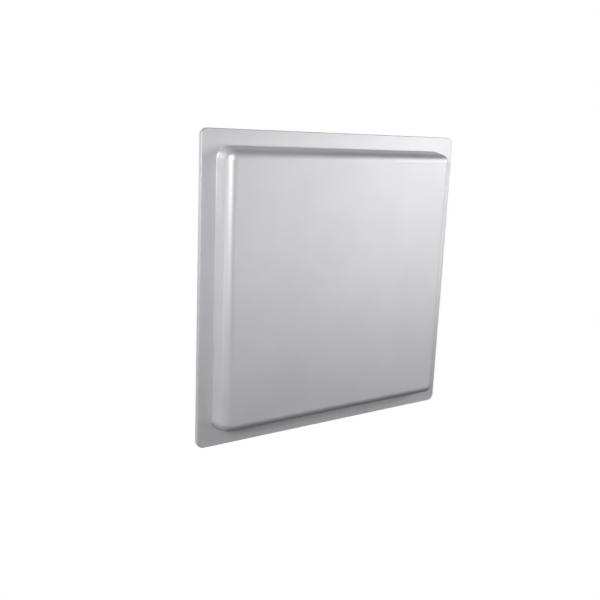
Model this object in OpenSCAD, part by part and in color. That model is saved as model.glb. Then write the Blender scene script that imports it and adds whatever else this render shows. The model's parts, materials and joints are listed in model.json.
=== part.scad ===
// Read panel of a shop security gate: a flat patch antenna behind a moulded cover.
//
// Row frame: +Z up, +X to the right as seen from the front, the front faces -Y.
// The origin is the centre of the four mounting studs, on the back plate's rear face.
// Each piece is drawn lying on its back on a bench (x right, y up, z out of the front),
// and stand() stands it up. "Height" below means distance in front of the plate's rear face.

/* [Cover] */
// Outside width and height of the square cover
panel_side = 305; // [290:1:320]
// Radius of the cover's four outer corners
outer_corner_r = 7; // [6:0.5:12]
// Height of the flat front
panel_depth = 25; // [24.5:0.5:28]
// Height of the flange's front
flange_top = 5.5; // [5:0.5:6.5]
// Width of the flat flange, from the outer edge to the foot of the raised wall
flange_w = 15.5; // [13:0.5:17]
// Thickness of the cover's walls
cover_t = 2.5; // [2:0.1:2.8]
// Radius of the raised pan's corners where they meet the flange
pan_corner_r = 12; // [12:0.5:20]
// Radius that rounds the pan's front edge
edge_round_r = 9; // [7:0.5:9.5]
// Slope of the pan's walls, in degrees
wall_draft = 10; // [8:1:12]
// Thickness of the skirt that wraps the back plate's edge
skirt_t = 2; // [1.5:0.1:2.5]
// Distance from the outer edge to the cover screws and their bosses
boss_inset = 31; // [30:0.5:34]
// Radius of the bosses inside the cover
boss_r = 4.5; // [4:0.1:5]

/* [Back plate] */
// Thickness of the aluminium back plate
plate_t = 2; // [2:0.1:2.4]
// Thickness of the squeezed foam gasket
gasket_t = 0.5; // [0.3:0.1:0.8]
// Width of the foam gasket
gasket_w = 10; // [6:0.5:10.5]
// Width and height of the blank rating label
label_size = [80, 34]; // [20:1:90]

/* [Mounting studs] */
// Distance between neighbouring studs
stud_pitch = 100; // [75:1:102]
// Radius of the M6 studs
stud_r = 3; // [2.5:0.5:4]
// Length of the studs behind the back plate
stud_length = 16; // [10:1:25]

/* [Antenna] */
// Side of the lower, driven patch
driven_side = 148; // [140:1:156]
// Thickness of the driven patch
driven_t = 1.2; // [0.8:0.1:1.5]
// Air gap between the back plate and the driven patch
driven_gap = 10; // [10:0.5:11]
// Side of the upper, parasitic patch
parasitic_side = 134; // [130:1:140]
// Thickness of the parasitic patch
parasitic_t = 1; // [0.8:0.1:1.2]
// Air gap between the two patches
patch_gap = 5; // [4:0.5:5]
// Distance between neighbouring patch posts
post_pitch = 120; // [118:1:122]

/* [Feed board] */
// Side of the square circuit board
board_side = 84; // [80:1:88]
// Thickness of the circuit board
board_t = 1.6; // [0.8:0.1:1.6]
// Side of the square splitter ring, between the middles of its lines
ring_side = 45; // [40:1:48]
// Distance from the centre to each feed probe
probe_reach = 28; // [27:0.5:30]

/* [Connector] */
// Distance of the socket below the panel's centre
socket_drop = 95; // [92:1:98]
// Radius of the socket's threaded barrel
barrel_r = 7.9; // [7.5:0.1:8]
// Length of the threaded barrel behind the hexagonal flange
barrel_length = 15; // [12:0.5:18]

/* [Hidden] */
$fn = 96;

// Small gaps: round a screw, round a pressed-in piece, and between the skirt and the plate
screw_gap = 0.1;
press_gap = 0.02;
skirt_gap = 0.3;
// Length of a cutter that runs right through a piece
through = 40;
// The skirt stops short of the rear face, so that the plate is what touches the wall
skirt_bottom = 0.2;

// The arc that rounds the pan's front edge: its centre's height, and its distance from a corner's axis
arc_z = panel_depth - edge_round_r;
pan_h = panel_depth - flange_top;
shoulder = edge_round_r * cos(wall_draft)
         + (pan_h - edge_round_r + edge_round_r * sin(wall_draft)) * tan(wall_draft);
arc_x = pan_corner_r - shoulder;
// Distance from the panel's centre to the axes of the pan's corners
corner_c = panel_side / 2 - flange_w - pan_corner_r;

plate_side = panel_side - 2 * (skirt_t + skirt_gap);
plate_corner_r = outer_corner_r - skirt_t - skirt_gap;
seat_h = plate_t + gasket_t;
ceiling_h = panel_depth - cover_t;
boss_c = panel_side / 2 - boss_inset;
boss_spots = [for (x = [-1, 0, 1], y = [-1, 0, 1]) if (x != 0 || y != 0) [x * boss_c, y * boss_c]];

// Heights of the stack inside
driven_h = plate_t + driven_gap;
upper_h = driven_h + driven_t;
parasitic_h = upper_h + patch_gap;
stack_top = parasitic_h + parasitic_t;
board_top = plate_t + board_t;
trace_t = 0.1;
trace_w = 3;
trace_top = board_top + trace_t;

// M3 screws: countersunk ones from the rear, and pan-head ones from the front
m3_r = 1.5;
m3_bore_r = m3_r + press_gap;
sunk_head_r = 2.8;
sunk_head_h = 1.5;
// Cross recess of a countersunk head: its span, width and depth on both sides of the face
sunk_cross = [3, 0.6, 1.8];
pan_head_r = 2.8;
pan_head_h = 2;
// Span and width of a pan head's cross recess, as parts of the head's radius
cross_span = 1.1;
cross_width = 0.2;
rear_screw_length = 7;
front_screw_tip = 7.7;
insert_r = 2.3;
insert_length = 5;

// Posts and pads of the stack
pad_side = 22;
upper_spacer_r = 3.5;
lower_spacer_r = 4;
centre_post_r = 4.6;

// Feed board: its screws, the hole round the centre post, and the probes
m25_r = 1.25;
board_head_r = 2.3;
board_head_h = 1.5;
board_screw_tip = 0.2;
board_screw_c = board_side / 2 - 5;
board_hole_r = 5.2;
probe_spots = [[probe_reach, 0], [0, probe_reach]];
probe_r = 0.65;
probe_hole_r = 0.7;
probe_collar_r = 1.3;
// Height of a probe's collar, and how far its tip stands above the driven patch
probe_collar_h = 0.8;

// Copper lines: the input's distance from the board's edge, its jog below the ring,
// the stub before the load, and the tail after it
input_inset = 4;
jog_drop = 6;
stub = 5;
tail = 3;
// Width, length and height of the load
load_size = [2.5, 5, 0.6];

stud_head_r = stud_r + 1.1;
stud_head_h = 1.4;
stud_collar_r = stud_r + 0.4;
stud_chamfer = 0.8;

// Bulkhead socket
hex_h = 4;
hex_r = 11;
barrel_end = -hex_h - barrel_length;
barrel_chamfer = 0.8;
neck_r = 6;
neck_top = 7.5;
socket_bore_r = 4.1;
insulator_face = -10;
insulator_step = -3;
insulator_r = 3;

// Its contact: a slotted tube for the plug's pin, a pin through the insulator, and a solder cup
contact_r = 1.5;
contact_bore_r = 0.82;
contact_length = 5;
contact_slot = [4, 0.3, 3];
pin_r = 0.9;
cup_r = 1.3;
cup_top = 11;
// Distance from the contact's axis at which the lead's core enters the cup
cup_entry = 0.4;
cup_bore_r = 0.35;

// Its seal, washer and nut: the o-ring sits in a groove in the hexagon
ring_r = 7.9;
ring_wire_r = 0.66;
groove_h = 1.4;
groove_half_w = 1;
washer_r = 9.4;
washer_t = 0.8;
// Cutter for the notches in the washer's edge, and its distance out
notch = [2, 1.6, 4];
notch_reach = 9.6;
nut_r = 9.8;
nut_h = 3.2;

// Dust cap: the gap round the barrel, its radius, its depth past the barrel, and its grip ribs
cap_gap = 0.08;
cap_r = 9.6;
cap_end = 3;
cap_chamfer = 1;
cap_floor = 1.4;
cap_mouth = -hex_h - 0.8;
lip_h = 2;
lip_w = 1;
rib_r = 0.55;
rib_start = 1.5;

// Rigid coaxial lead: it leaves the solder cup, drops in an S and lies on the feed board
coax_r = 1.1;
coax_core_r = 0.3;
coax_high = 9.2;
coax_low = trace_top + coax_r + 0.2;
coax_turn = 45;
coax_bend_r = (coax_high - coax_low) / (2 * (1 - cos(coax_turn)));
coax_start = -socket_drop + 7;
coax_bend_start = -62;
coax_bend_end = coax_bend_start + 2 * coax_bend_r * sin(coax_turn);
coax_end = -board_side / 2 + 5;
// The bare core: how far it reaches into the outer, into the cup and along the input line
core_lap = 1;
core_inset = 0.5;
core_tail = 3;

// Breather in the plate: its stem, its low head, the barb inside the plate, and its side slots
vent_spot = [70, -socket_drop];
vent_r = 5;
vent_head_r = 7.5;
vent_head_h = 3;
vent_chamfer_h = 1;
vent_chamfer_w = 0.5;
vent_stem_end = 2;
barb_w = 0.6;
barb_h = 1.5;
barb_gap = 0.1;
vent_bore_r = 3.5;
vent_floor = -1.8;
vent_slot = [20, 2, 1];
vent_slot_h = -1.3;
membrane_t = 0.3;

// Rating label
label_y = 85;
label_t = 0.15;

// ---- shared shapes ----

module stand() rotate([90, 0, 0]) children();

module at_corners(c) for (x = [-c, c], y = [-c, c]) translate([x, y, 0]) children();

module at_spots(spots) for (spot = spots) translate([spot.x, spot.y, 0]) children();

// Square with rounded corners
module rounded_square(side, r) {
    square([side - 2 * r, side], center = true);
    square([side, side - 2 * r], center = true);
    at_corners(side / 2 - r) circle(r = r);
}

module rounded_plate(side, r, bottom, top)
    translate([0, 0, bottom]) linear_extrude(height = top - bottom) rounded_square(side, r);

// Section through the pan's wall, from a corner's axis outwards:
// a sloping wall, then an arc, then the flat front
module wall_section(arc_r, bottom) {
    tangent = [arc_x + arc_r * cos(wall_draft), arc_z + arc_r * sin(wall_draft)];
    foot = tangent.x + (tangent.y - bottom) * tan(wall_draft);
    top = arc_z + arc_r;
    polygon([[0, bottom], [foot, bottom], tangent, [arc_x, top], [0, top]]);
    translate([arc_x, arc_z]) intersection() {
        circle(r = arc_r);
        square(2 * arc_r);
    }
}

// Filled pan: four turned corners, four straight sides and the middle
module pan_solid(arc_r, bottom) {
    for (turn = [0:90:270]) rotate([0, 0, turn]) {
        translate([corner_c, corner_c, 0]) rotate_extrude(angle = 90) wall_section(arc_r, bottom);
        translate([corner_c, 0, 0]) rotate([90, 0, 0])
            linear_extrude(height = 2 * corner_c, center = true) wall_section(arc_r, bottom);
    }
    translate([-corner_c, -corner_c, bottom]) cube([2 * corner_c, 2 * corner_c, arc_z + arc_r - bottom]);
}

module tube(r, bore_r, bottom, top) difference() {
    translate([0, 0, bottom]) cylinder(r = r, h = top - bottom);
    translate([0, 0, bottom - 1]) cylinder(r = bore_r, h = top - bottom + 2);
}

// Countersunk screw from the rear, with a cross recess
module sunk_screw(length) difference() {
    union() {
        cylinder(r1 = sunk_head_r, r2 = m3_r, h = sunk_head_h);
        cylinder(r = m3_r, h = length);
    }
    for (turn = [0, 90]) rotate([0, 0, turn]) cube(sunk_cross, center = true);
}

module sunk_hole() {
    cylinder(r1 = sunk_head_r + screw_gap, r2 = m3_r + screw_gap, h = sunk_head_h);
    cylinder(r = m3_r + screw_gap, h = plate_t + 1);
}

// Pan-head screw with a cross recess: the head sits at a height, the shank goes down from there
module pan_screw(r, head_r, head_h, seat, tip) difference() {
    union() {
        translate([0, 0, seat]) cylinder(r = head_r, h = head_h);
        translate([0, 0, tip]) cylinder(r = r, h = seat - tip + head_h / 2);
    }
    translate([0, 0, seat + head_h]) for (turn = [0, 90]) rotate([0, 0, turn])
        cube([head_r * cross_span, head_r * cross_width, head_h], center = true);
}

// ---- cover ----

module radome() color("#D5D4D8") stand() difference() {
    union() {
        difference() {
            union() {
                rounded_plate(panel_side, outer_corner_r, skirt_bottom, flange_top);
                pan_solid(edge_round_r, flange_top);
            }
            pan_solid(edge_round_r - cover_t, plate_t);
            rounded_plate(panel_side - 2 * skirt_t, outer_corner_r - skirt_t, -1, seat_h);
        }
        at_spots(boss_spots) translate([0, 0, plate_t]) cylinder(r = boss_r, h = ceiling_h - plate_t + 1);
    }
    at_spots(boss_spots) translate([0, 0, plate_t - 1])
        cylinder(r = insert_r + press_gap, h = rear_screw_length + 2);
}

module rim_gasket() color("#3A3A3C") stand() {
    outer = panel_side - 2 * (skirt_t + 1);
    difference() {
        rounded_plate(outer, plate_corner_r, plate_t, seat_h);
        rounded_plate(outer - 2 * gasket_w, plate_corner_r, plate_t - 1, seat_h + 1);
    }
}

module threaded_inserts() color("#B58E3F") stand()
    at_spots(boss_spots) tube(insert_r, m3_bore_r, seat_h, seat_h + insert_length);

// ---- antenna stack ----

module foam_pads() color("#E8E8E4") stand()
    at_corners(post_pitch / 4) translate([-pad_side / 2, -pad_side / 2, stack_top])
        cube([pad_side, pad_side, ceiling_h - stack_top]);

module parasitic_patch() color("#B9BCC0") stand() difference() {
    translate([0, 0, parasitic_h]) linear_extrude(height = parasitic_t)
        square(parasitic_side, center = true);
    at_corners(post_pitch / 2) cylinder(r = m3_r + screw_gap, h = panel_depth);
}

module patch_screws() color("#F1F0EA") stand()
    at_corners(post_pitch / 2) pan_screw(m3_r, pan_head_r, pan_head_h, stack_top, front_screw_tip);

module upper_spacers() color("#F1F0EA") stand()
    at_corners(post_pitch / 2) tube(upper_spacer_r, m3_bore_r, upper_h, parasitic_h);

module driven_patch() color("#B9BCC0") stand() difference() {
    translate([0, 0, driven_h]) linear_extrude(height = driven_t) square(driven_side, center = true);
    at_corners(post_pitch / 2) cylinder(r = m3_r + screw_gap, h = panel_depth);
    cylinder(r = m3_r + screw_gap, h = panel_depth);
    at_spots(probe_spots) cylinder(r = probe_hole_r, h = panel_depth);
}

module lower_spacers() color("#F1F0EA") stand()
    at_corners(post_pitch / 2) tube(lower_spacer_r, m3_bore_r, plate_t, driven_h);

// Hexagonal brass post
module centre_post() color("#B58E3F") stand() difference() {
    translate([0, 0, plate_t]) cylinder(r = centre_post_r, h = driven_gap, $fn = 6);
    cylinder(r = m3_bore_r, h = panel_depth);
}

module centre_screw() color("#C9CBCE") stand()
    pan_screw(m3_r, pan_head_r, pan_head_h, upper_h, front_screw_tip);

// ---- feed ----

module feed_probes() color("#B58E3F") stand() at_spots(probe_spots) {
    translate([0, 0, trace_top]) cylinder(r = probe_collar_r, h = probe_collar_h);
    translate([0, 0, trace_top]) cylinder(r = probe_r, h = upper_h + probe_collar_h - trace_top);
}

module feed_board() color("#2F6B4A") stand() difference() {
    translate([0, 0, plate_t]) linear_extrude(height = board_t) square(board_side, center = true);
    cylinder(r = board_hole_r, h = panel_depth);
    at_corners(board_screw_c) cylinder(r = m25_r + screw_gap, h = panel_depth);
}

// A straight copper line between two points that share an x or a y
module trace(a, b) translate((a + b) / 2)
    square([abs(a.x - b.x) + trace_w, abs(a.y - b.y) + trace_w], center = true);

// Splitter ring, its input from below, its two outputs to the probes, and the line to its load
module feed_traces() color("#B87333") stand() translate([0, 0, board_top]) linear_extrude(height = trace_t) {
    half = ring_side / 2;
    input = [0, -board_side / 2 + input_inset];
    jog_y = -half - jog_drop;
    load_end = half + stub + load_size.y;
    difference() {
        square(ring_side + trace_w, center = true);
        square(ring_side - trace_w, center = true);
    }
    trace(input, [0, jog_y]);
    trace([0, jog_y], [-half, jog_y]);
    trace([-half, jog_y], [-half, -half]);
    trace([half, -half], [probe_reach, -half]);
    trace([probe_reach, -half], [probe_reach, 0]);
    trace([half, half], [half, probe_reach]);
    trace([half, probe_reach], [0, probe_reach]);
    trace([-half, half], [-half, half + stub]);
    trace([-half, load_end], [-half, load_end + tail]);
}

module termination_resistor() color("#26282B") stand()
    translate([-(ring_side + load_size.x) / 2, ring_side / 2 + stub, trace_top]) cube(load_size);

module board_screws() color("#C9CBCE") stand()
    at_corners(board_screw_c) pan_screw(m25_r, board_head_r, board_head_h, board_top, board_screw_tip);

// A straight stretch of the lead, and one bend of it
module lead_run(r, from, to, z) translate([0, from, z]) rotate([-90, 0, 0]) cylinder(r = r, h = to - from);

module lead_bend() rotate([0, -90, 0]) rotate_extrude(angle = coax_turn) translate([coax_bend_r, 0])
    circle(r = coax_r);

module coax_jumper() color("#B87333") stand() {
    lead_run(coax_core_r, -socket_drop + core_inset, coax_start + core_lap, coax_high);
    lead_run(coax_r, coax_start, coax_bend_start, coax_high);
    translate([0, coax_bend_start, coax_high - coax_bend_r]) lead_bend();
    translate([0, coax_bend_end, coax_low + coax_bend_r]) rotate([180, 0, 0]) lead_bend();
    lead_run(coax_r, coax_bend_end, coax_end, coax_low);
    lead_run(coax_core_r, coax_end - core_lap, coax_end + core_tail, coax_low);
}

// ---- back ----

module back_plate() color("#B4B7BB") stand() difference() {
    rounded_plate(plate_side, plate_corner_r, 0, plate_t);
    at_spots(boss_spots) sunk_hole();
    at_corners(post_pitch / 2) sunk_hole();
    sunk_hole();
    at_corners(stud_pitch / 2) stud_seat(press_gap);
    at_corners(board_screw_c) cylinder(r = m25_r + press_gap, h = plate_t + 1);
    translate([0, -socket_drop, -1]) cylinder(r = neck_r + screw_gap, h = plate_t + 2);
    translate([vent_spot.x, vent_spot.y, -1]) cylinder(r = vent_r + screw_gap, h = plate_t + 2);
}

// The flush head and the collar of a stud, inside the plate; grow makes the hole that they are pressed into
module stud_seat(grow) {
    translate([0, 0, plate_t - stud_head_h]) cylinder(r = stud_head_r + grow, h = stud_head_h + grow);
    translate([0, 0, -grow]) cylinder(r = stud_collar_r + grow, h = plate_t);
}

module mounting_studs() color("#C9CBCE") stand() at_corners(stud_pitch / 2) {
    stud_seat(0);
    translate([0, 0, stud_chamfer - stud_length]) cylinder(r = stud_r, h = stud_length);
    translate([0, 0, -stud_length]) cylinder(r1 = stud_r - stud_chamfer, r2 = stud_r, h = stud_chamfer);
}

module cover_screws() color("#C9CBCE") stand() at_spots(boss_spots) sunk_screw(rear_screw_length);

module spacer_screws() color("#C9CBCE") stand() {
    at_corners(post_pitch / 2) sunk_screw(rear_screw_length);
    sunk_screw(rear_screw_length);
}

module rating_label() color("#E9E9E6") stand()
    translate([0, label_y, -label_t]) linear_extrude(height = label_t) square(label_size, center = true);

module vent_plug() color("#2B2C2E") stand() translate([vent_spot.x, vent_spot.y, 0]) difference() {
    union() {
        translate([0, 0, -vent_head_h])
            cylinder(r1 = vent_head_r - vent_chamfer_w, r2 = vent_head_r, h = vent_chamfer_h);
        translate([0, 0, vent_chamfer_h - vent_head_h])
            cylinder(r = vent_head_r, h = vent_head_h - vent_chamfer_h);
        cylinder(r = vent_r, h = plate_t + vent_stem_end);
        translate([0, 0, plate_t + barb_gap]) cylinder(r1 = vent_r + barb_w, r2 = vent_r, h = barb_h);
    }
    translate([0, 0, vent_floor]) cylinder(r = vent_bore_r, h = through);
    for (turn = [0, 90]) rotate([0, 0, turn]) translate([0, 0, vent_slot_h])
        cube(vent_slot, center = true);
}

module vent_membrane() color("#F4F4F2") stand() translate([vent_spot.x, vent_spot.y, 0])
    cylinder(r = vent_bore_r - press_gap, h = membrane_t);

// ---- socket ----

module at_socket() stand() translate([0, -socket_drop, 0]) children();

module connector_body() color("#CDBF9E") at_socket() difference() {
    union() {
        translate([0, 0, barrel_end])
            cylinder(r1 = barrel_r - barrel_chamfer, r2 = barrel_r, h = barrel_chamfer);
        translate([0, 0, barrel_end + barrel_chamfer])
            cylinder(r = barrel_r, h = barrel_length - barrel_chamfer);
        translate([0, 0, -hex_h]) cylinder(r = hex_r, h = hex_h, $fn = 6);
        cylinder(r = neck_r, h = neck_top);
    }
    translate([0, 0, barrel_end - 1]) cylinder(r = socket_bore_r, h = insulator_step - barrel_end + 1);
    cylinder(r = insulator_r, h = through, center = true);
    tube(ring_r + groove_half_w, ring_r - groove_half_w, -groove_h, 1);
}

module connector_insulator() color("#F6F5F1") at_socket() difference() {
    union() {
        translate([0, 0, insulator_face])
            cylinder(r = socket_bore_r - press_gap, h = insulator_step - insulator_face);
        translate([0, 0, insulator_step])
            cylinder(r = insulator_r - press_gap, h = neck_top - insulator_step);
    }
    cylinder(r = pin_r + press_gap, h = through, center = true);
}

// Socket contact, pin and solder cup in one turned piece
module connector_contact() color("#C9A24B") at_socket() difference() {
    union() {
        translate([0, 0, insulator_face - contact_length]) cylinder(r = contact_r, h = contact_length);
        translate([0, 0, insulator_face]) cylinder(r = pin_r, h = neck_top - insulator_face);
        translate([0, 0, neck_top]) cylinder(r = cup_r, h = cup_top - neck_top);
    }
    translate([0, 0, insulator_face - contact_length - 1]) cylinder(r = contact_bore_r, h = contact_length);
    for (turn = [0, 90]) rotate([0, 0, turn])
        translate([0, 0, insulator_face - contact_length + contact_slot.z / 2 - 1])
            cube(contact_slot, center = true);
    translate([0, cup_entry, coax_high]) rotate([-90, 0, 0]) cylinder(r = cup_bore_r, h = through);
}

module connector_oring() color("#2B2C2E") at_socket() translate([0, 0, -groove_h / 2])
    rotate_extrude() translate([ring_r, 0]) circle(r = ring_wire_r, $fn = 32);

module connector_washer() color("#CDBF9E") at_socket() difference() {
    tube(washer_r, neck_r + screw_gap, plate_t, plate_t + washer_t);
    for (turn = [0:36:324]) rotate([0, 0, turn]) translate([notch_reach, 0, plate_t])
        cube(notch, center = true);
}

module connector_nut() color("#CDBF9E") at_socket() difference() {
    translate([0, 0, plate_t + washer_t]) cylinder(r = nut_r, h = nut_h, $fn = 6);
    cylinder(r = neck_r + press_gap, h = through, center = true);
}

// Push-on cap with a closed end and grip ribs; it slides off the barrel backwards
module connector_cap() color("#1F2022") at_socket() difference() {
    union() {
        translate([0, 0, barrel_end - cap_end])
            cylinder(r1 = cap_r - cap_chamfer, r2 = cap_r, h = cap_chamfer);
        translate([0, 0, barrel_end - cap_end + cap_chamfer])
            cylinder(r = cap_r, h = cap_mouth - barrel_end + cap_end - cap_chamfer);
        translate([0, 0, cap_mouth - lip_h]) cylinder(r = cap_r + lip_w, h = lip_h);
        for (turn = [0:24:336]) rotate([0, 0, turn]) translate([cap_r, 0, barrel_end - rib_start])
            cylinder(r = rib_r, h = cap_mouth - barrel_end, $fn = 24);
    }
    translate([0, 0, barrel_end - cap_floor]) cylinder(r = barrel_r + cap_gap, h = through);
}

radome();
rim_gasket();
threaded_inserts();
foam_pads();
parasitic_patch();
patch_screws();
upper_spacers();
driven_patch();
lower_spacers();
centre_post();
centre_screw();
feed_probes();
feed_board();
feed_traces();
termination_resistor();
board_screws();
coax_jumper();
back_plate();
mounting_studs();
cover_screws();
spacer_screws();
connector_body();
connector_insulator();
connector_contact();
connector_oring();
connector_washer();
connector_nut();
vent_plug();
vent_membrane();
rating_label();
connector_cap();
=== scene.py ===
"""Looks of a security gate's read panel: satin moulded cover, metal back, studs and capped socket."""

import json
import math

import bmesh
import bpy
from mathutils import Matrix, Vector


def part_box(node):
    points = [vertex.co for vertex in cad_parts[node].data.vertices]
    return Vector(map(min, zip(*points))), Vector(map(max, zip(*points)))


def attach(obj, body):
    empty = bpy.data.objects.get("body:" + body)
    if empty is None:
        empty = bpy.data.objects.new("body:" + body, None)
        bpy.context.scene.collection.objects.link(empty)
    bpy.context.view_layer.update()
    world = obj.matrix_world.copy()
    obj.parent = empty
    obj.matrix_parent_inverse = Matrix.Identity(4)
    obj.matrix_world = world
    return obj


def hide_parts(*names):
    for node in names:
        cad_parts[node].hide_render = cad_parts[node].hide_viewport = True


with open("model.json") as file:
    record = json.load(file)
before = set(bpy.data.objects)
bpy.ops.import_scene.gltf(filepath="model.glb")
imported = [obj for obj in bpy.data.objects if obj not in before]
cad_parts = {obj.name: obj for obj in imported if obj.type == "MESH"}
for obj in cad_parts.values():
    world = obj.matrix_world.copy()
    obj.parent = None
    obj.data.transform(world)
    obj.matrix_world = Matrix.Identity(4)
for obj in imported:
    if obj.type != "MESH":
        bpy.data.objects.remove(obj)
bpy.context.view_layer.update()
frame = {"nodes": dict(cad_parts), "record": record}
scene = bpy.context.scene
MM = 0.001

# ---- sizes in millimetres, on the bench: x right, y up, z out of the front ----


def extent(node):
    """A node's lowest and highest corners on the bench."""
    low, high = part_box(node)
    corners = (low[0], low[2], -high[1]), (high[0], high[2], -low[1])
    return [[round(value / MM, 3) for value in corner] for corner in corners]


def middle(node):
    """Where a node's middle is, seen from the front."""
    low, high = extent(node)
    return (low[0] + high[0]) / 2, (low[1] + high[1]) / 2


cover_low, cover_high = extent("radome")
HALF_SIDE = cover_high[0]
FACE_H = cover_high[2]
SKIRT_BOTTOM = cover_low[2]
CORNER_R = 7.0
RIM_ROUND = 0.8
REAR_ROUND = 0.3
FLANGE_TOP = 5.5
FLANGE_W = 15.5
SEAT_H = 2.5
SKIRT_T = 2.0
WALL_T = 2.5
EDGE_R = 9.0
DRAFT = math.radians(10)
PAN_CORNER_R = 12.0
FOOT_FILLET = 1.0
CORNER_C = HALF_SIDE - FLANGE_W - PAN_CORNER_R
ARC_H = FACE_H - EDGE_R
PLATE_T = extent("back_plate")[1][2]

INSERT_R = 2.3
BOSS_C = extent("threaded_inserts")[1][0] - INSERT_R
BOSS_R = 4.5
BOSS_BORE_R = INSERT_R + 0.02
BOSS_BORE_TOP = 10.0

wall_studs = next(mount for mount in frame["record"]["mounts"] if mount["name"] == "wall_studs")["dims"]
STUD_C = wall_studs["spacing_x_mm"] / 2
STUD_R = wall_studs["stud_r_mm"]
STUD_LENGTH = -extent("mounting_studs")[0][2]
STUD_PITCH = 1.0
STUD_DEPTH = 0.55
STUD_CHAMFER = 0.8
STUD_ROOT = 0.6
STUD_COLLAR_R = 3.4
STUD_HEAD_R = extent("mounting_studs")[1][0] - STUD_C
STUD_HEAD_H = 1.4

SOCKET_AT = middle("connector_body")
socket_low, socket_high = extent("connector_body")
BARREL_R = 7.9
BARREL_END = socket_low[2]
BARREL_TIP_R = 0.8
BARREL_PITCH = 1.058
BARREL_DEPTH = 0.55
BARREL_ROOT = -5.2
RELIEF_R = 7.2
HEX_H = 4.0
HEX_R = socket_high[0]
HEX_BEVEL = 0.75
HEX_CHAMFER = 0.3
GROOVE_R = (6.9, 8.9)
GROOVE_H = 1.4
NECK_R = 6.0
NECK_TOP = socket_high[2]
NECK_CHAMFER = 0.4
SOCKET_BORE_R = 4.1
MOUTH_CHAMFER = 0.5
INSULATOR_R = 3.0
INSULATOR_STEP = -3.0

cap_low, cap_high = extent("connector_cap")
CAP_END = cap_low[2]
CAP_MOUTH = cap_high[2]
CAP_LIP_R = 0.5
CAP_LIP_H = 2.2
CAP_R = cap_high[0] - 2 * CAP_LIP_R
CAP_CORNER_R = 1.3
CAP_DISH_R = 4.6
CAP_DISH_H = 0.35
CAP_BORE_R = 7.98
CAP_FLOOR = BARREL_END - 1.4
CAP_RIBS = 15
CAP_RIB_H = 0.55
CAP_RIB_FADE = 1.2

vent_low, vent_high = extent("vent_plug")
VENT_AT = middle("vent_plug")
VENT_HEAD_R = (vent_high[0] - vent_low[0]) / 2
VENT_HEAD_H = -vent_low[2]
VENT_END = vent_high[2]
VENT_RIM_R = 0.8
VENT_DISH_R = 4.8
VENT_DISH_H = 0.4
VENT_FOOT_CHAMFER = 0.25
VENT_STEM_R = 5.0
VENT_BARB = 0.6
VENT_BARB_H = 1.5
VENT_BORE_R = 3.5
VENT_FLOOR = -1.8
VENT_SLOTS = ((20, 2), (2, 20))

label_low, label_high = extent("rating_label")
LABEL_AT = middle("rating_label")
LABEL_SIZE = (label_high[0] - label_low[0], label_high[1] - label_low[1])
LABEL_T = -label_low[2]
LABEL_CORNER_R = 3.0
LABEL_EDGE_R = 0.04
LABEL_BORDER = 2.0
LABEL_LINE = 0.18

# ---- meshes ----


def stand(point):
    """A bench point in millimetres, stood up and in metres."""
    x, y, z = point
    return Vector((x, -z, y)) * MM


def arc(centre, radius, start, end, steps):
    """Points of an arc from one angle to another, in degrees."""
    turns = [math.radians(start + (end - start) * i / steps) for i in range(steps + 1)]
    return [(centre[0] + radius * math.cos(t), centre[1] + radius * math.sin(t)) for t in turns]


def finish_mesh(name, bm, sharp=35.0):
    """Turns a bmesh on the bench into a standing object, smooth but for its sharp edges."""
    for vert in bm.verts:
        vert.co = stand(vert.co)
    bmesh.ops.recalc_face_normals(bm, faces=bm.faces)
    mesh = bpy.data.meshes.new(name)
    bm.to_mesh(mesh)
    bm.free()
    piece = bpy.data.objects.new(name, mesh)
    scene.collection.objects.link(piece)
    mesh.polygons.foreach_set("use_smooth", [True] * len(mesh.polygons))
    mesh.set_sharp_from_angle(angle=math.radians(sharp))
    weighted = piece.modifiers.new("flat faces stay flat", "WEIGHTED_NORMAL")
    weighted.keep_sharp = True
    return piece


def skin(bm, rings, closed=False):
    """Quads between neighbouring rings of points; a ring of one point is a pole."""
    loops = [[bm.verts.new(p) for p in ring] for ring in rings]
    pairs = list(zip(loops, loops[1:])) + ([(loops[-1], loops[0])] if closed else [])
    for a, b in pairs:
        count = max(len(a), len(b))
        for i in range(count):
            j = (i + 1) % count
            corners = [a[i % len(a)], a[j % len(a)], b[j % len(b)], b[i % len(b)]]
            bm.faces.new(list(dict.fromkeys(corners)))
    if not closed:
        for loop in (loops[0], loops[-1]):
            if len(loop) > 2:
                bm.faces.new(loop)


def turned(bm, profile, at=(0.0, 0.0), steps=48, shape=None, closed=False):
    """A profile of (radius, height) turned about an axis through at; shape may change a radius."""
    rings = []
    for radius, height in profile:
        if radius == 0:
            rings.append([(at[0], at[1], height)])
            continue
        ring = []
        for i in range(steps):
            angle = 2 * math.pi * i / steps
            r = shape(angle, radius, height) if shape else radius
            ring.append((at[0] + r * math.cos(angle), at[1] + r * math.sin(angle), height))
        rings.append(ring)
    skin(bm, rings, closed)


def boolean(piece, tool, operation):
    """Joins a tool to a piece or cuts it out, and throws the tool away."""
    modifier = piece.modifiers.new("tool", "BOOLEAN")
    modifier.operation = operation
    modifier.solver = "EXACT"
    modifier.object = tool
    piece.modifiers.move(len(piece.modifiers) - 1, 0)
    with bpy.context.temp_override(object=piece, active_object=piece):
        bpy.ops.object.modifier_apply(modifier="tool")
    bpy.data.objects.remove(tool)


def drop_slivers(piece):
    """Removes the near-empty faces that cutting leaves."""
    bm = bmesh.new()
    bm.from_mesh(piece.data)
    bmesh.ops.dissolve_degenerate(bm, dist=MM / 1000, edges=bm.edges)
    bm.to_mesh(piece.data)
    bm.free()


# ---- the cover ----

CORNER_STEPS = 14
ARC_STEPS = 12


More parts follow.
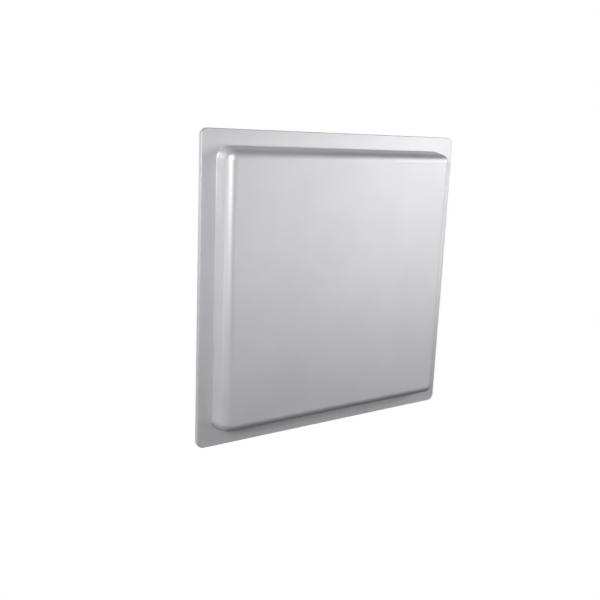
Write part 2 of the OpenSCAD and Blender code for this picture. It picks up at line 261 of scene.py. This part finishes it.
def square_ring(half, radius, height):
    """Points of a rounded square."""
    ring = []
    for quarter in range(4):
        for i in range(CORNER_STEPS + 1):
            angle = math.pi / 2 * (quarter + i / CORNER_STEPS)
            side_x = 1 if quarter in (0, 3) else -1
            side_y = 1 if quarter in (0, 1) else -1
            ring.append((side_x * (half - radius) + radius * math.cos(angle),
                         side_y * (half - radius) + radius * math.sin(angle), height))
    return ring


def pan_profile(arc_r, bottom):
    """(radius about a corner's axis, height) from the wall's foot to the start of the flat."""
    centre = (PAN_CORNER_R - shoulder(), ARC_H)
    bend = arc(centre, arc_r, math.degrees(DRAFT), 90, ARC_STEPS)
    foot = bend[0][0] + (bend[0][1] - bottom) * math.tan(DRAFT)
    return foot, bend


def shoulder():
    """Distance from the wall's foot to the axis of the front arc."""
    wall_h = FACE_H - FLANGE_TOP - EDGE_R + EDGE_R * math.sin(DRAFT)
    return EDGE_R * math.cos(DRAFT) + wall_h * math.tan(DRAFT)


def cover_rings():
    """The moulding as one run of rings: down its inside to the skirt, then up its outside to the face."""
    inner_foot, inner_bend = pan_profile(EDGE_R - WALL_T, SEAT_H)
    inside = [(CORNER_C + r, r, h) for r, h in reversed(inner_bend)]
    inside.append((CORNER_C + inner_foot, inner_foot, SEAT_H))
    skirt = HALF_SIDE - SKIRT_T
    inside += [(skirt, CORNER_R - SKIRT_T, SEAT_H), (skirt, CORNER_R - SKIRT_T, SKIRT_BOTTOM)]

    rear = arc((-REAR_ROUND, SKIRT_BOTTOM + REAR_ROUND), REAR_ROUND, -90, 0, 3)
    rim = arc((-RIM_ROUND, FLANGE_TOP - RIM_ROUND), RIM_ROUND, 0, 90, 5)
    outside = [(HALF_SIDE + d, CORNER_R + d, h) for d, h in rear + rim]

    foot, bend = pan_profile(EDGE_R, FLANGE_TOP)
    fillet_x = foot - FOOT_FILLET * math.tan(DRAFT) + FOOT_FILLET / math.cos(DRAFT)
    fillet = arc((fillet_x, FLANGE_TOP + FOOT_FILLET), FOOT_FILLET, 270, 180 + math.degrees(DRAFT), 5)
    outside += [(CORNER_C + r, r, h) for r, h in fillet + bend]
    return [square_ring(*ring) for ring in inside + outside]


def make_cover():
    bm = bmesh.new()
    skin(bm, cover_rings())
    cover = finish_mesh("cover", bm)
    spots = [(x * BOSS_C, y * BOSS_C) for x in (-1, 0, 1) for y in (-1, 0, 1) if x or y]
    ceiling = FACE_H - WALL_T
    bosses = bmesh.new()
    for spot in spots:
        turned(bosses, [(0, ceiling + 1), (BOSS_R, ceiling + 1), (BOSS_R, SEAT_H), (BOSS_BORE_R, SEAT_H),
                        (BOSS_BORE_R, BOSS_BORE_TOP), (0, BOSS_BORE_TOP)], spot)
    boolean(cover, finish_mesh("bosses", bosses), "UNION")
    return cover


def thread(outer, depth, pitch, start, end):
    """A shape for turned(): a rounded helical groove between two heights that fades out at both ends."""
    def shape(angle, radius, height):
        if not start < height < end:
            return radius
        groove = 0.5 - 0.5 * math.cos(2 * math.pi * height / pitch - angle)
        fade = min(1.0, (height - start) / pitch, (end - height) / pitch)
        return min(radius, outer - depth * groove * fade)
    return shape


def rows(radius, start, end, step):
    """Evenly spaced profile points along a cylinder, so that a thread has rows to bend."""
    count = math.ceil(abs(end - start) / step)
    return [(radius, start + (end - start) * i / count) for i in range(count + 1)]


def make_studs():
    bm = bmesh.new()
    cut = thread(STUD_R, STUD_DEPTH, STUD_PITCH, -STUD_LENGTH - STUD_PITCH, -STUD_ROOT)
    shank = rows(STUD_R, STUD_CHAMFER - STUD_LENGTH, -STUD_ROOT, STUD_PITCH / 10)
    tip = [(STUD_R - STUD_CHAMFER, -STUD_LENGTH), (STUD_R - STUD_CHAMFER / 2, STUD_CHAMFER / 2 - STUD_LENGTH)]
    seat = PLATE_T - STUD_HEAD_H
    head = [(STUD_R, 0), (STUD_COLLAR_R, 0), (STUD_COLLAR_R, seat), (STUD_HEAD_R, seat),
            (STUD_HEAD_R, PLATE_T), (0, PLATE_T)]
    for x in (-STUD_C, STUD_C):
        for y in (-STUD_C, STUD_C):
            turned(bm, [(0, -STUD_LENGTH)] + tip + shank + head, (x, y), 40, cut)
    return finish_mesh("studs", bm)


def make_socket():
    """The socket's threaded barrel, chamfered hexagonal flange and neck, with the bore through them."""
    cut = thread(BARREL_R, BARREL_DEPTH, BARREL_PITCH, BARREL_END - BARREL_PITCH, BARREL_ROOT)
    flat = HEX_R * math.cos(math.pi / 6)

    def shape(angle, radius, height):
        hexagon = flat / math.cos(angle % (math.pi / 3) - math.pi / 6)
        return min(cut(angle, radius, height), hexagon)

    tip = arc((BARREL_R - BARREL_TIP_R, BARREL_END + BARREL_TIP_R), BARREL_TIP_R, -90, 0, 4)
    barrel = rows(BARREL_R, BARREL_END + BARREL_TIP_R + 0.1, BARREL_ROOT, BARREL_PITCH / 10)
    relief = [(RELIEF_R, BARREL_ROOT + 0.2), (RELIEF_R, -HEX_H)]
    hexagon = [(flat + 0.1, -HEX_H), (HEX_R, HEX_BEVEL - HEX_H), (HEX_R, -HEX_CHAMFER),
               (HEX_R - HEX_CHAMFER, 0)]
    groove = [(GROOVE_R[1], 0), (GROOVE_R[1], -GROOVE_H), (GROOVE_R[0], -GROOVE_H), (GROOVE_R[0], 0)]
    neck = [(NECK_R, 0), (NECK_R, NECK_TOP - NECK_CHAMFER), (NECK_R - NECK_CHAMFER, NECK_TOP)]
    bore = [(INSULATOR_R, NECK_TOP), (INSULATOR_R, INSULATOR_STEP), (SOCKET_BORE_R, INSULATOR_STEP),
            (SOCKET_BORE_R, BARREL_END + MOUTH_CHAMFER), (SOCKET_BORE_R + MOUTH_CHAMFER, BARREL_END)]
    bm = bmesh.new()
    turned(bm, tip + barrel + relief + hexagon + groove + neck + bore, SOCKET_AT, 72, shape, closed=True)
    return finish_mesh("socket", bm, sharp=28)


def make_cap():
    """The dust cap: a closed end, rounded grip ribs and a rolled lip round the mouth."""
    rib_low, rib_high = CAP_END + CAP_CORNER_R + 0.2, CAP_MOUTH - CAP_LIP_H - 0.4

    def shape(angle, radius, height):
        if radius < CAP_R - 0.01 or not rib_low < height < rib_high:
            return radius
        fade = min(1.0, (height - rib_low) / CAP_RIB_FADE, (rib_high - height) / CAP_RIB_FADE)
        rib = max(0.0, math.cos(CAP_RIBS * angle)) ** 2
        return radius + CAP_RIB_H * math.sin(math.pi / 2 * fade) * rib

    dish = CAP_END + CAP_DISH_H
    end = [(0, dish), (CAP_DISH_R, dish)] + arc((CAP_DISH_R + 0.8, CAP_END + 0.4), 0.4, 210, 270, 3)
    corner = arc((CAP_R - CAP_CORNER_R, CAP_END + CAP_CORNER_R), CAP_CORNER_R, -90, 0, 7)
    side = rows(CAP_R, CAP_END + CAP_CORNER_R + 0.1, rib_high + 0.1, 0.4)
    lip_x = CAP_R + CAP_LIP_R
    lip = (arc((lip_x, CAP_MOUTH - CAP_LIP_H + CAP_LIP_R), CAP_LIP_R, 270, 360, 4)
           + arc((lip_x, CAP_MOUTH - CAP_LIP_R), CAP_LIP_R, 0, 90, 4))
    inside = [(CAP_BORE_R + 0.4, CAP_MOUTH), (CAP_BORE_R, CAP_MOUTH - 0.4), (CAP_BORE_R, CAP_FLOOR + 0.2),
              (CAP_BORE_R - 0.2, CAP_FLOOR), (0, CAP_FLOOR)]
    bm = bmesh.new()
    turned(bm, end + corner + side + lip + inside, SOCKET_AT, 180, shape)
    return finish_mesh("dust_cap", bm)


def slab(name, size, centre, bottom, top, corner_r, edge_r):
    """A rectangular slab with rounded corners and softened edges."""
    rings = []
    for inset, height in ((edge_r, bottom), (0, bottom + edge_r), (0, top - edge_r), (edge_r, top)):
        ring = []
        spare = max(size) / 2
        for x, y, _ in square_ring(spare - inset, corner_r - inset, height):
            ring.append((centre[0] + x + math.copysign(1, x) * (size[0] / 2 - spare),
                         centre[1] + y + math.copysign(1, y) * (size[1] / 2 - spare), height))
        rings.append(ring)
    bm = bmesh.new()
    skin(bm, rings)
    return finish_mesh(name, bm)


def make_vent():
    """The breather's plug: a low dished head with four side slots, and a barbed stem."""
    dish, barb = VENT_DISH_H - VENT_HEAD_H, PLATE_T + 0.1
    end = [(0, dish), (VENT_DISH_R, dish), (VENT_DISH_R + 0.6, -VENT_HEAD_H)]
    rim = arc((VENT_HEAD_R - VENT_RIM_R, VENT_RIM_R - VENT_HEAD_H), VENT_RIM_R, -90, 0, 5)
    foot = [(VENT_HEAD_R, -VENT_FOOT_CHAMFER), (VENT_HEAD_R - VENT_FOOT_CHAMFER, 0)]
    stem = [(VENT_STEM_R, 0), (VENT_STEM_R, barb), (VENT_STEM_R + VENT_BARB, barb),
            (VENT_STEM_R, barb + VENT_BARB_H), (VENT_STEM_R, VENT_END)]
    bore = [(VENT_BORE_R, VENT_END), (VENT_BORE_R, VENT_FLOOR), (0, VENT_FLOOR)]
    bm = bmesh.new()
    turned(bm, end + rim + foot + stem + bore, VENT_AT, 64)
    plug = finish_mesh("vent", bm)
    for size in VENT_SLOTS:
        boolean(plug, slab("slot", size, VENT_AT, VENT_FLOOR, VENT_FLOOR + 1, 0.4, 0.05), "DIFFERENCE")
    drop_slivers(plug)
    return plug


def make_label():
    return slab("label", LABEL_SIZE, LABEL_AT, -LABEL_T, 0, LABEL_CORNER_R, LABEL_EDGE_R)


PIECES = [
    (make_cover, "panel", "radome", "cover_plastic"),
    (make_studs, "panel", "mounting_studs", "zinc_steel"),
    (make_socket, "panel", "connector_body", "nickel_brass"),
    (make_cap, "cap", "connector_cap", "cap_rubber"),
    (make_vent, "panel", "vent_plug", "black_plastic"),
    (make_label, "panel", "rating_label", "label_film"),
]

# ---- materials ----


def material(name, color, roughness, metallic=0.0, **sockets):
    """A material whose even values sit on the shader's own sockets."""
    mat = bpy.data.materials.new(name)
    mat.use_nodes = True
    shader = mat.node_tree.nodes["Principled BSDF"]
    shader.inputs["Base Color"].default_value = (*color, 1)
    shader.inputs["Roughness"].default_value = roughness
    shader.inputs["Metallic"].default_value = metallic
    for socket, value in sockets.items():
        shader.inputs[socket.replace("_", " ")].default_value = value
    return mat


def noise(mat, scale, detail=3.0, stretch=(1, 1, 1)):
    """Noise in the piece's own coordinates; scale counts its lumps in a metre."""
    nodes, links = mat.node_tree.nodes, mat.node_tree.links
    place = nodes.new("ShaderNodeTexCoord")
    spread = nodes.new("ShaderNodeMapping")
    spread.inputs["Scale"].default_value = stretch
    tex = nodes.new("ShaderNodeTexNoise")
    tex.inputs["Scale"].default_value = scale
    tex.inputs["Detail"].default_value = detail
    links.new(place.outputs["Object"], spread.inputs["Vector"])
    links.new(spread.outputs["Vector"], tex.inputs["Vector"])
    return tex.outputs["Fac"]


def vary_color(mat, value, low, high, span=(0.35, 0.65)):
    """The base colour runs from low to high as value crosses span."""
    ramp = mat.node_tree.nodes.new("ShaderNodeValToRGB")
    for stop, at, color in zip(ramp.color_ramp.elements, span, (low, high)):
        stop.position = at
        stop.color = (*color, 1)
    shader = mat.node_tree.nodes["Principled BSDF"]
    mat.node_tree.links.new(value, ramp.inputs["Fac"])
    mat.node_tree.links.new(ramp.outputs["Color"], shader.inputs["Base Color"])


def vary_roughness(mat, value, low, high, span=(0.3, 0.7)):
    """The roughness runs from low to high as value crosses span."""
    scale = mat.node_tree.nodes.new("ShaderNodeMapRange")
    for socket, number in zip(("From Min", "From Max", "To Min", "To Max"), (*span, low, high)):
        scale.inputs[socket].default_value = number
    shader = mat.node_tree.nodes["Principled BSDF"]
    mat.node_tree.links.new(value, scale.inputs["Value"])
    mat.node_tree.links.new(scale.outputs["Result"], shader.inputs["Roughness"])


def bump(mat, *layers):
    """Stacks of (value, height in metres, strength) as bumps, one on the other."""
    nodes, links = mat.node_tree.nodes, mat.node_tree.links
    below = None
    for value, height, strength in layers:
        node = nodes.new("ShaderNodeBump")
        node.inputs["Distance"].default_value = height
        node.inputs["Strength"].default_value = strength
        links.new(value, node.inputs["Height"])
        if below:
            links.new(below, node.inputs["Normal"])
        below = node.outputs["Normal"]
    links.new(below, nodes["Principled BSDF"].inputs["Normal"])


def turning_marks(mat, centre, per_metre):
    """Fine rings about an axis that points out of the back, as a lathe leaves them."""
    nodes, links = mat.node_tree.nodes, mat.node_tree.links
    place = nodes.new("ShaderNodeTexCoord")
    move = nodes.new("ShaderNodeMapping")
    move.inputs["Location"].default_value = -stand((*centre, 0))
    rings = nodes.new("ShaderNodeTexWave")
    rings.wave_type = "RINGS"
    rings.rings_direction = "Y"
    rings.inputs["Scale"].default_value = per_metre
    rings.inputs["Distortion"].default_value = 1.5
    links.new(place.outputs["Object"], move.inputs["Vector"])
    links.new(move.outputs["Vector"], rings.inputs["Vector"])
    return rings.outputs["Fac"]


def cells(mat, scale, randomness=1.0):
    """Distance to the walls of small cells, as in foam; scale counts the cells in a metre."""
    nodes, links = mat.node_tree.nodes, mat.node_tree.links
    place = nodes.new("ShaderNodeTexCoord")
    tex = nodes.new("ShaderNodeTexVoronoi")
    tex.feature = "DISTANCE_TO_EDGE"
    tex.inputs["Scale"].default_value = scale
    tex.inputs["Randomness"].default_value = randomness
    links.new(place.outputs["Object"], tex.inputs["Vector"])
    return tex.outputs["Distance"]


def cover_plastic():
    """Satin silver-grey lacquer over a finely grained moulding."""
    mat = material("cover_plastic", (0.67, 0.665, 0.69), 0.5, metallic=0.6)
    clouds = noise(mat, 22, 2)
    grain = noise(mat, 2600, 2)
    vary_color(mat, clouds, (0.655, 0.652, 0.676), (0.685, 0.680, 0.704))
    vary_roughness(mat, clouds, 0.49, 0.51)
    bump(mat, (grain, 0.00004, 0.35))
    return mat


def sheet_aluminium(name, dark, light, lines):
    """Rolled sheet: long fine scratches one way, and cloudy patches from the passivation."""
    mat = material(name, light, 0.4, metallic=1.0, Anisotropic=0.4)
    scratches = noise(mat, lines, 3, (0.02, 1, 1))
    patches = noise(mat, 30, 3)
    vary_color(mat, scratches, dark, light, (0.35, 0.65))
    vary_roughness(mat, patches, 0.38, 0.43)
    bump(mat, (scratches, 0.00002, 0.5), (patches, 0.0001, 0.02))
    return mat


def zinc_steel():
    """Bright zinc with its faint blue and straw tints."""
    mat = material("zinc_steel", (0.60, 0.61, 0.63), 0.3, metallic=1.0)
    tint = noise(mat, 160, 3)
    fine = noise(mat, 1800, 3)
    vary_color(mat, tint, (0.55, 0.58, 0.63), (0.68, 0.66, 0.58), (0.38, 0.66))
    vary_roughness(mat, fine, 0.22, 0.4)
    bump(mat, (fine, 0.00003, 0.3))
    return mat


def turned_metal(name, dark, light, roughness, centre=(0.0, 0.0), per_metre=900):
    """Turned and plated metal: lathe rings, and small stains in the finish."""
    mat = material(name, light, roughness[0], metallic=1.0)
    stains = noise(mat, 240, 3)
    rings = turning_marks(mat, centre, per_metre)
    vary_color(mat, stains, dark, light, (0.35, 0.6))
    vary_roughness(mat, stains, *roughness)
    bump(mat, (rings, 0.00002, 0.2), (noise(mat, 2400, 2), 0.00001, 0.1))
    return mat


def rubber(name, dark, light, roughness, grain, height):
    """Moulded rubber with a bloom of dust on a fine grain."""
    mat = material(name, light, roughness[0], Specular_IOR_Level=0.35)
    bloom = noise(mat, 90, 4)
    fine = noise(mat, grain, 3)
    vary_color(mat, bloom, dark, light, (0.35, 0.75))
    vary_roughness(mat, bloom, *roughness)
    bump(mat, (fine, height, 0.4))
    return mat


def foam(name, dark, light, per_metre):
    mat = material(name, light, 0.9, Specular_IOR_Level=0.2)
    walls = cells(mat, per_metre)
    vary_color(mat, walls, dark, light, (0.02, 0.3))
    bump(mat, (walls, 0.0002, 0.6), (noise(mat, 60, 2), 0.0004, 0.2))
    return mat


def white_plastic(name, color, roughness, scatter):
    """Natural nylon or fluoropolymer: slightly translucent, with faint cutting marks."""
    mat = material(name, color, roughness, Subsurface_Weight=scatter, Subsurface_Scale=0.001)
    shade = [0.93 * part for part in color]
    vary_color(mat, noise(mat, 300, 3), shade, color)
    vary_roughness(mat, noise(mat, 900, 2), roughness - 0.06, roughness + 0.08)
    bump(mat, (noise(mat, 1600, 2), 0.00003, 0.3))
    return mat


def circuit_board():
    """Green mask over glass cloth, whose threads show as a fine square weave."""
    mat = material("circuit_board", (0.03, 0.16, 0.08), 0.3, Coat_Weight=0.4, Coat_Roughness=0.15)
    warp = noise(mat, 1400, 1, (1, 1, 0.02))
    weft = noise(mat, 1400, 1, (0.02, 1, 1))
    vary_color(mat, noise(mat, 60, 3), (0.025, 0.135, 0.065), (0.04, 0.19, 0.09))
    vary_roughness(mat, warp, 0.24, 0.38)
    bump(mat, (warp, 0.00003, 0.4), (weft, 0.00003, 0.4))
    return mat


def label_film():
    """White satin polyester with a ruled border and two ruled lines, and nothing written on it."""
    mat = material("label_film", (0.8, 0.8, 0.78), 0.38, Coat_Weight=0.15, Coat_Roughness=0.3)
    nodes, links = mat.node_tree.nodes, mat.node_tree.links

    def math_node(operation, first, second=None, clamp=False):
        node = nodes.new("ShaderNodeMath")
        node.operation = operation
        node.use_clamp = clamp
        for socket, value in zip(node.inputs, (first, second)):
            if isinstance(value, float):
                socket.default_value = value
            elif value is not None:
                links.new(value, socket)
        return node.outputs[0]

    place = nodes.new("ShaderNodeTexCoord")
    split = nodes.new("ShaderNodeSeparateXYZ")
    links.new(place.outputs["Object"], split.inputs["Vector"])
    across = math_node("ABSOLUTE", math_node("SUBTRACT", split.outputs["X"], LABEL_AT[0] * MM))
    up = math_node("SUBTRACT", split.outputs["Z"], LABEL_AT[1] * MM)
    half_w, half_h = (LABEL_SIZE[0] / 2 - LABEL_BORDER) * MM, (LABEL_SIZE[1] / 2 - LABEL_BORDER) * MM
    beyond = math_node("MAXIMUM", math_node("SUBTRACT", across, half_w),
                       math_node("SUBTRACT", math_node("ABSOLUTE", up), half_h))
    line = math_node("LESS_THAN", math_node("ABSOLUTE", beyond), LABEL_LINE * MM)
    inside = math_node("LESS_THAN", beyond, 0.0)
    for height in (-LABEL_SIZE[1] / 6, LABEL_SIZE[1] / 6):
        near = math_node("ABSOLUTE", math_node("SUBTRACT", up, height * MM))
        rule = math_node("MULTIPLY", math_node("LESS_THAN", near, LABEL_LINE * MM / 2), inside)
        line = math_node("MAXIMUM", line, rule)
    ink = math_node("SUBTRACT", line, math_node("MULTIPLY", noise(mat, 2500, 2), 0.25), clamp=True)
    vary_color(mat, ink, (0.8, 0.8, 0.78), (0.16, 0.16, 0.17), (0.0, 1.0))
    fine = noise(mat, 1200, 2)
    vary_roughness(mat, fine, 0.32, 0.44)
    bump(mat, (fine, 0.00002, 0.25))
    return mat


BLACK = (0.016, 0.016, 0.018)
MATERIALS = {
    "cover_plastic": cover_plastic(),
    "gasket_foam": foam("gasket_foam", (0.02, 0.02, 0.022), (0.06, 0.06, 0.065), 1800),
    "brass": turned_metal("brass", (0.48, 0.32, 0.11), (0.66, 0.48, 0.20), (0.24, 0.4)),
    "pad_foam": foam("pad_foam", (0.55, 0.55, 0.52), (0.80, 0.80, 0.77), 1500),
    "patch_aluminium": sheet_aluminium("patch_aluminium", (0.58, 0.59, 0.61), (0.68, 0.69, 0.71), 2600),
    "nylon": white_plastic("nylon", (0.85, 0.84, 0.78), 0.45, 0.15),
    "zinc_steel": zinc_steel(),
    "circuit_board": circuit_board(),
    "copper": turned_metal("copper", (0.55, 0.22, 0.12), (0.80, 0.38, 0.23), (0.26, 0.42)),
    "black_plastic": rubber("black_plastic", BLACK, (0.032, 0.032, 0.035), (0.38, 0.52), 1500, 0.00006),
    "plate_aluminium": sheet_aluminium("plate_aluminium", (0.50, 0.51, 0.53), (0.62, 0.63, 0.65), 1500),
    "nickel_brass": turned_metal("nickel_brass", (0.50, 0.47, 0.40), (0.70, 0.67, 0.60), (0.2, 0.34),
                                 SOCKET_AT),
    "ptfe": white_plastic("ptfe", (0.88, 0.88, 0.86), 0.4, 0.25),
    "gold_contact": turned_metal("gold_contact", (0.66, 0.44, 0.14), (0.86, 0.62, 0.25), (0.16, 0.28),
                                 SOCKET_AT),
    "seal_rubber": rubber("seal_rubber", BLACK, (0.03, 0.03, 0.03), (0.45, 0.6), 1500, 0.00004),
    "label_film": label_film(),
    "cap_rubber": rubber("cap_rubber", (0.014, 0.014, 0.016), (0.045, 0.045, 0.048), (0.5, 0.72), 1100,
                         0.00008),
}


def put(piece, mat):
    """Gives a piece one material."""
    if not piece.material_slots:
        piece.data.materials.append(mat)
    for slot in piece.material_slots:
        slot.material = mat


for row in frame["record"]["subparts"]:
    put(frame["nodes"][row["node"]], MATERIALS[row["material_slot"]])
for make, body, node, slot in PIECES:
    piece = make()
    put(piece, MATERIALS[slot])
    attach(piece, body)
    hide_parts(node)

# ---- camera ----

# Azimuth is in degrees to the right of the front, and elevation in degrees above level
CAMERA_PLACE = (-35.49, 11.34)
CAMERA_AWAY = 0.782
CAMERA_FACES = (-34.08, 11.36)   # it looks back along this direction, a little to the left of the middle
CAMERA_ROLL = math.radians(2.55)
LENS = 44.97
SHIFT = (-0.0214, -0.0309)


def direction(azimuth, elevation):
    """The way from the panel's middle to an azimuth and elevation."""
    around, up = math.radians(azimuth), math.radians(elevation)
    return Vector((math.sin(around) * math.cos(up), -math.cos(around) * math.cos(up), math.sin(up)))


camera = bpy.data.objects.new("camera", bpy.data.cameras.new("camera"))
scene.collection.objects.link(camera)
turn = direction(*CAMERA_FACES).to_track_quat("Z", "Y").to_matrix().to_4x4()
place = Matrix.Translation(direction(*CAMERA_PLACE) * CAMERA_AWAY)
camera.matrix_world = place @ turn @ Matrix.Rotation(CAMERA_ROLL, 4, "Z")
camera.data.sensor_width = 36
camera.data.lens = LENS
camera.data.shift_x, camera.data.shift_y = SHIFT
scene.camera = camera

# ---- light and floor ----

# Soft boxes round the panel, facing its middle: azimuth, elevation, watts
LIGHTS = {
    "right": (60, 20, 5),
    "band_right": (40, -5, 2),
    "band_middle": (15, -5, 1),
    "band_left": (-15, -10, 0.6),
    "band_far_left": (-35, -5, 0.7),
    "fill_left": (-55, 20, 12),
    "fill_high": (-30, 35, 1),
    "side_left": (-100, -5, 2),
    "side_right": (100, -5, 3),
    "rear_right": (150, 25, 2),
    "rear_left": (-155, 0, 1),
}
BOX_AWAY = 1.3
BOX_SIZE = 0.4
# A nearer one, level with the spot it faces, for the bright patch high on the right
KEY_SPOT = (0.5, 0.9)   # to the right and up, as shares of half the cover's side
KEY_AZIMUTH = 40
KEY_AWAY = 0.6
KEY_SIZE = 0.2
KEY_WATTS = 0.27
REAR_LIGHT = 0.5
REAR_FADE = (0.2, 0.7)   # how far a ray points to the rear where that light starts and is full
FLOOR_Z = -1.0
FLOOR_HALF = 12.0


def soft_box(name, place, aim, size, watts):
    data = bpy.data.lights.new(name, "AREA")
    data.shape = "SQUARE"
    data.size = size
    data.energy = watts
    lamp = bpy.data.objects.new(name, data)
    scene.collection.objects.link(lamp)
    lamp.location = place
    lamp.rotation_euler = (Vector(place) - Vector(aim)).to_track_quat("Z", "Y").to_euler()
    lamp.visible_camera = False


def make_world():
    """Pale behind the panel and dark in front of it; the camera sees plain white."""
    world = bpy.data.worlds.new("studio")
    scene.world = world
    world.use_nodes = True
    nodes, links = world.node_tree.nodes, world.node_tree.links
    nodes.clear()
    place = nodes.new("ShaderNodeTexCoord")
    split = nodes.new("ShaderNodeSeparateXYZ")
    fade = nodes.new("ShaderNodeMapRange")
    fade.inputs["From Min"].default_value, fade.inputs["From Max"].default_value = REAR_FADE
    fade.inputs["To Min"].default_value = 0.0
    fade.inputs["To Max"].default_value = REAR_LIGHT
    dim = nodes.new("ShaderNodeBackground")
    plain = nodes.new("ShaderNodeBackground")
    ray = nodes.new("ShaderNodeLightPath")
    mix = nodes.new("ShaderNodeMixShader")
    out = nodes.new("ShaderNodeOutputWorld")
    plain.inputs["Color"].default_value = (1, 1, 1, 1)
    dim.inputs["Color"].default_value = (1, 1, 1, 1)
    links.new(place.outputs["Generated"], split.inputs["Vector"])
    links.new(split.outputs["Y"], fade.inputs["Value"])
    links.new(fade.outputs["Result"], dim.inputs["Strength"])
    links.new(ray.outputs["Is Camera Ray"], mix.inputs["Fac"])
    links.new(dim.outputs["Background"], mix.inputs[1])
    links.new(plain.outputs["Background"], mix.inputs[2])
    links.new(mix.outputs["Shader"], out.inputs["Surface"])


def make_floor():
    """A white floor well below the panel; it casts no light on the panel."""
    bm = bmesh.new()
    signs = ((-1, -1), (1, -1), (1, 1), (-1, 1))
    bm.faces.new([bm.verts.new((x * FLOOR_HALF, y * FLOOR_HALF, FLOOR_Z)) for x, y in signs])
    mesh = bpy.data.meshes.new("floor")
    bm.to_mesh(mesh)
    bm.free()
    floor = bpy.data.objects.new("floor", mesh)
    scene.collection.objects.link(floor)
    mat = material("floor_white", (0.0, 0.0, 0.0), 1.0, Specular_IOR_Level=0.0)
    shader = mat.node_tree.nodes["Principled BSDF"]
    shader.inputs["Emission Color"].default_value = (1, 1, 1, 1)
    shader.inputs["Emission Strength"].default_value = 1.0
    mesh.materials.append(mat)
    floor.visible_diffuse = floor.visible_glossy = floor.visible_shadow = False


for light_name, (azimuth, elevation, watts) in LIGHTS.items():
    soft_box(light_name, direction(azimuth, elevation) * BOX_AWAY, (0, 0, 0), BOX_SIZE, watts)
key_aim = stand((KEY_SPOT[0] * HALF_SIDE, KEY_SPOT[1] * HALF_SIDE, FLANGE_TOP))
soft_box("key", key_aim + direction(KEY_AZIMUTH, 0) * KEY_AWAY, key_aim, KEY_SIZE, KEY_WATTS)
make_world()
make_floor()
scene.view_settings.view_transform = "Standard"
